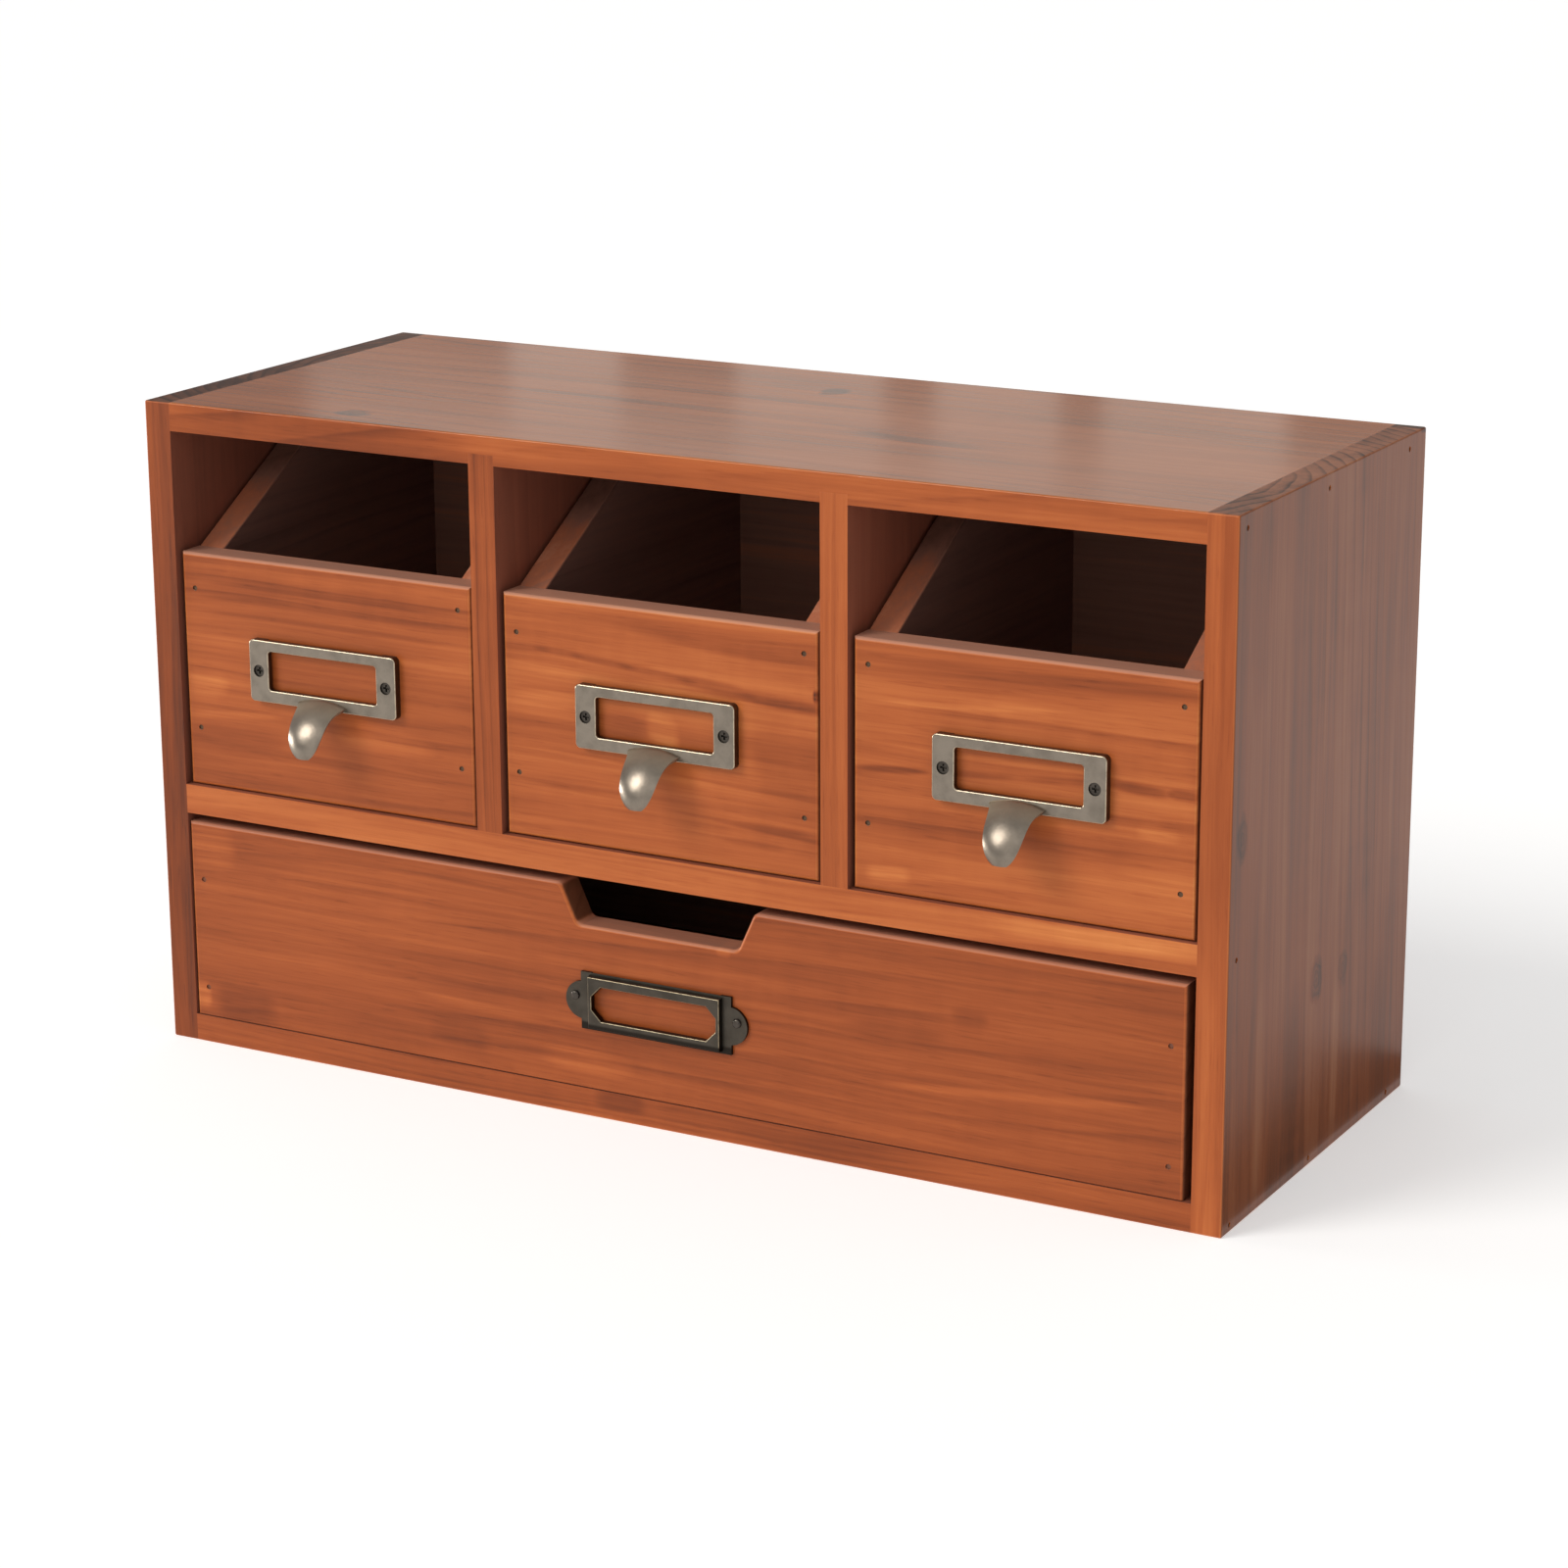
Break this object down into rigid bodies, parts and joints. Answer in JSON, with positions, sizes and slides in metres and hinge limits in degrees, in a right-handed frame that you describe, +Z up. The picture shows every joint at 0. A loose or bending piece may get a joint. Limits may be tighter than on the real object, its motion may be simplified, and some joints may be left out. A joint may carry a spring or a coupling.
{
  "type": "desktop drawer organizer",
  "caption": "Stained-wood desktop organizer: tall open-topped small drawers with cast label pulls above a wide drawer with a notched front and a label frame.",
  "frame": {"origin": "middle of the case's underside, on the surface it stands on", "axes": "+X to the right seen from the front, +Y to the back, +Z up"},
  "size_m": [0.35, 0.1494, 0.199],
  "materials": {
    "stained_board": "satin stain, pine grain",
    "thin_panel": "stained thin panel",
    "pull_metal": "antique brushed, brighter edges",
    "screw_metal": "darkened",
    "frame_metal": "dark antique bronze, rubbed edges",
    "nail_metal": "darkened by the stain"
  },
  "bodies": {
    "case": {"left_side_panel": "stained_board", "right_side_panel": "stained_board", "top_panel": "stained_board", "bottom_panel": "stained_board", "middle_shelf": "stained_board", "left_divider": "stained_board", "right_divider": "stained_board", "back_panel": "thin_panel", "case_nails": "nail_metal", "back_nails": "nail_metal"},
    "left_drawer": {"left_drawer_front": "stained_board", "left_drawer_left_side": "stained_board", "left_drawer_right_side": "stained_board", "left_drawer_back": "stained_board", "left_drawer_bottom": "thin_panel", "left_drawer_nails": "nail_metal", "left_label_pull": "pull_metal", "left_pull_screws": "screw_metal"},
    "middle_drawer": {"middle_drawer_front": "stained_board", "middle_drawer_left_side": "stained_board", "middle_drawer_right_side": "stained_board", "middle_drawer_back": "stained_board", "middle_drawer_bottom": "thin_panel", "middle_drawer_nails": "nail_metal", "middle_label_pull": "pull_metal", "middle_pull_screws": "screw_metal"},
    "right_drawer": {"right_drawer_front": "stained_board", "right_drawer_left_side": "stained_board", "right_drawer_right_side": "stained_board", "right_drawer_back": "stained_board", "right_drawer_bottom": "thin_panel", "right_drawer_nails": "nail_metal", "right_label_pull": "pull_metal", "right_pull_screws": "screw_metal"},
    "wide_drawer": {"wide_drawer_front": "stained_board", "wide_drawer_left_side": "stained_board", "wide_drawer_right_side": "stained_board", "wide_drawer_back": "stained_board", "wide_drawer_bottom": "thin_panel", "wide_drawer_nails": "nail_metal", "wide_label_frame": "frame_metal", "wide_frame_pins": "frame_metal"}
  },
  "joints": [
    {"name": "left_drawer_slide", "type": "slide", "parent": "case", "child": "left_drawer", "axis": [0, -1, 0], "range_m": [0, 0.105]},
    {"name": "middle_drawer_slide", "type": "slide", "parent": "case", "child": "middle_drawer", "axis": [0, -1, 0], "range_m": [0, 0.105]},
    {"name": "right_drawer_slide", "type": "slide", "parent": "case", "child": "right_drawer", "axis": [0, -1, 0], "range_m": [0, 0.105]},
    {"name": "wide_drawer_slide", "type": "slide", "parent": "case", "child": "wide_drawer", "axis": [0, -1, 0], "range_m": [0, 0.105]}
  ]
}
